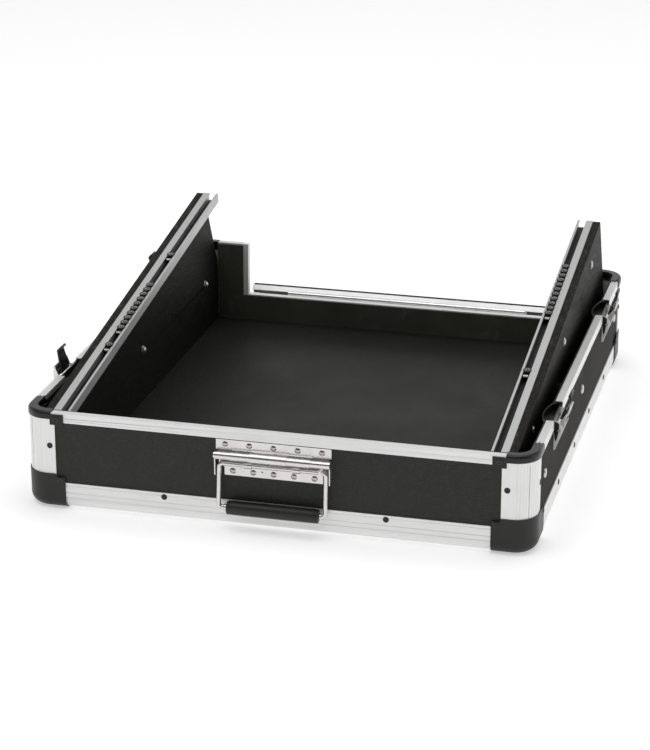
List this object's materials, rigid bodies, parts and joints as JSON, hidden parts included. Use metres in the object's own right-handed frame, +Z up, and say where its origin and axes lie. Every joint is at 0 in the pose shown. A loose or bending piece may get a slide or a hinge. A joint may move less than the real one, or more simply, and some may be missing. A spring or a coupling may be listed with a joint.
{
  "type": "equipment rack case",
  "caption": "Black laminated case body with aluminium edging, ball corners, sloping rack rails with sliding nuts, side latches, sprung front handle and a folding rear cable flap.",
  "frame": {"origin": "centre of the case body in plan, on the surface the ball corners stand on, which is the footprint mount", "axes": "+X to the right as seen from the handle side, +Y to the rear wall with the cable flap, +Z up"},
  "size_m": [0.5798, 0.6972, 0.1912],
  "materials": {
    "aluminium_edging": "satin anodised extrusion",
    "laminated_plywood": "black plastic laminate with a fine pebble grain on plywood",
    "black_lining": "flat black board",
    "black_plywood": "black stained plywood with grainy edges",
    "zinc_steel": "bright zinc plated",
    "chrome": "polished nickel and chrome plate",
    "black_plastic": "semi-gloss black moulding",
    "black_steel": "black oxide",
    "rubber_grip": "satin black rubber"
  },
  "bodies": {
    "case": {"ball_corners": "black_plastic", "base_panel": "laminated_plywood", "board_spacers": "zinc_steel", "bottom_profile_front": "aluminium_edging", "bottom_profile_left": "aluminium_edging", "bottom_profile_rear": "aluminium_edging", "bottom_profile_right": "aluminium_edging", "corner_profiles": "aluminium_edging", "edging_screws": "black_steel", "front_panel": "laminated_plywood", "front_trim": "aluminium_edging", "handle_backplate": "chrome", "handle_rivets": "chrome", "handle_spring": "zinc_steel", "handle_spring_rod": "zinc_steel", "hinge_pin": "zinc_steel", "hinge_wall_leaf": "zinc_steel", "hinge_wall_screws": "zinc_steel", "latch_bases": "chrome", "latch_blocks": "black_plastic", "latch_rivets": "chrome", "left_lining": "black_lining", "left_panel": "laminated_plywood", "left_rack_board": "black_plywood", "left_rack_rail": "zinc_steel", "left_trims": "aluminium_edging", "notch_trim": "aluminium_edging", "rail_inserts": "black_plastic", "rail_screws": "zinc_steel", "rear_lining": "black_lining", "rear_panel": "laminated_plywood", "rear_trims": "aluminium_edging", "right_lining": "black_lining", "right_panel": "laminated_plywood", "right_rack_board": "black_plywood", "right_rack_rail": "zinc_steel", "right_trims": "aluminium_edging", "top_caps": "black_plastic", "wall_bolt_nuts": "zinc_steel", "wall_bolts": "zinc_steel"},
    "handle": {"handle_bail": "chrome", "handle_grip": "rubber_grip"},
    "flap": {"flap_panel": "laminated_plywood", "flap_trim": "aluminium_edging", "flap_lining": "black_lining", "hinge_flap_leaf": "zinc_steel", "hinge_flap_screws": "zinc_steel"},
    "left_rear_nut": {"left_rear_nut": "black_steel"},
    "left_nut_row": {"left_nut_row": "black_steel"},
    "left_front_nut": {"left_front_nut": "black_steel"},
    "right_nut_row": {"right_nut_row": "black_steel"},
    "right_front_nut": {"right_front_nut": "black_steel"},
    "left_front_lever": {"left_front_latch_lever": "chrome"},
    "left_front_hook": {"left_front_latch_hook": "black_steel"},
    "left_rear_lever": {"left_rear_latch_lever": "chrome"},
    "left_rear_hook": {"left_rear_latch_hook": "black_steel"},
    "right_front_lever": {"right_front_latch_lever": "chrome"},
    "right_front_hook": {"right_front_latch_hook": "black_steel"},
    "right_rear_lever": {"right_rear_latch_lever": "chrome"},
    "right_rear_hook": {"right_rear_latch_hook": "black_steel"}
  },
  "joints": [
    {"name": "handle_hinge", "type": "hinge", "parent": "case", "child": "handle", "pos_m": [0, -0.3173, 0.0732], "axis": [-1, 0, 0], "range_deg": [0, 95], "stiffness_Nm_per_rad": 0.15, "springref_deg": -28.65},
    {"name": "flap_hinge", "type": "hinge", "parent": "case", "child": "flap", "pos_m": [0, 0.316, 0.0442], "axis": [1, 0, 0], "range_deg": [0, 136.7]},
    {"name": "left_rear_nut_slide", "type": "slide", "parent": "case", "child": "left_rear_nut", "axis": [0, 0.989, 0.1478], "range_m": [-0.063, 0.17]},
    {"name": "left_nut_row_slide", "type": "slide", "parent": "case", "child": "left_nut_row", "axis": [0, 0.989, 0.1478], "range_m": [-0.024, 0.063]},
    {"name": "left_front_nut_slide", "type": "slide", "parent": "case", "child": "left_front_nut", "axis": [0, 0.989, 0.1478], "range_m": [-0.136, 0.024]},
    {"name": "right_nut_row_slide", "type": "slide", "parent": "case", "child": "right_nut_row", "axis": [0, 0.989, 0.1478], "range_m": [-0.118, 0.121]},
    {"name": "right_front_nut_slide", "type": "slide", "parent": "case", "child": "right_front_nut", "axis": [0, 0.989, 0.1478], "range_m": [-0.16, 0.118]},
    {"name": "left_front_lever_hinge", "type": "hinge", "parent": "case", "child": "left_front_lever", "pos_m": [-0.2795, -0.176, 0.096], "axis": [0, -1, 0], "range_deg": [-3, 167]},
    {"name": "left_front_hook_hinge", "type": "hinge", "parent": "left_front_lever", "child": "left_front_hook", "pos_m": [-0.28089, -0.176, 0.1059], "axis": [0, -1, 0], "range_deg": [-167.5, 3.5]},
    {"name": "left_rear_lever_hinge", "type": "hinge", "parent": "case", "child": "left_rear_lever", "pos_m": [-0.2795, 0.171, 0.096], "axis": [0, -1, 0], "range_deg": [-3, 154]},
    {"name": "left_rear_hook_hinge", "type": "hinge", "parent": "left_rear_lever", "child": "left_rear_hook", "pos_m": [-0.28308, 0.171, 0.10534], "axis": [0, -1, 0], "range_deg": [-169.9, 3.8]},
    {"name": "right_front_lever_hinge", "type": "hinge", "parent": "case", "child": "right_front_lever", "pos_m": [0.2795, -0.176, 0.096], "axis": [0, 1, 0], "range_deg": [-3, 154]},
    {"name": "right_front_hook_hinge", "type": "hinge", "parent": "right_front_lever", "child": "right_front_hook", "pos_m": [0.28308, -0.176, 0.10534], "axis": [0, 1, 0], "range_deg": [-169.9, 3.8]},
    {"name": "right_rear_lever_hinge", "type": "hinge", "parent": "case", "child": "right_rear_lever", "pos_m": [0.2795, 0.171, 0.096], "axis": [0, 1, 0], "range_deg": [-3, 154]},
    {"name": "right_rear_hook_hinge", "type": "hinge", "parent": "right_rear_lever", "child": "right_rear_hook", "pos_m": [0.28308, 0.171, 0.10534], "axis": [0, 1, 0], "range_deg": [-169.9, 3.8]}
  ],
  "couplings": [
    {"joint": "left_front_hook_hinge", "follows": "left_front_lever_hinge", "ratio": -1},
    {"joint": "left_rear_hook_hinge", "follows": "left_rear_lever_hinge", "ratio": -1.1},
    {"joint": "right_front_hook_hinge", "follows": "right_front_lever_hinge", "ratio": -1.1},
    {"joint": "right_rear_hook_hinge", "follows": "right_rear_lever_hinge", "ratio": -1.1}
  ]
}
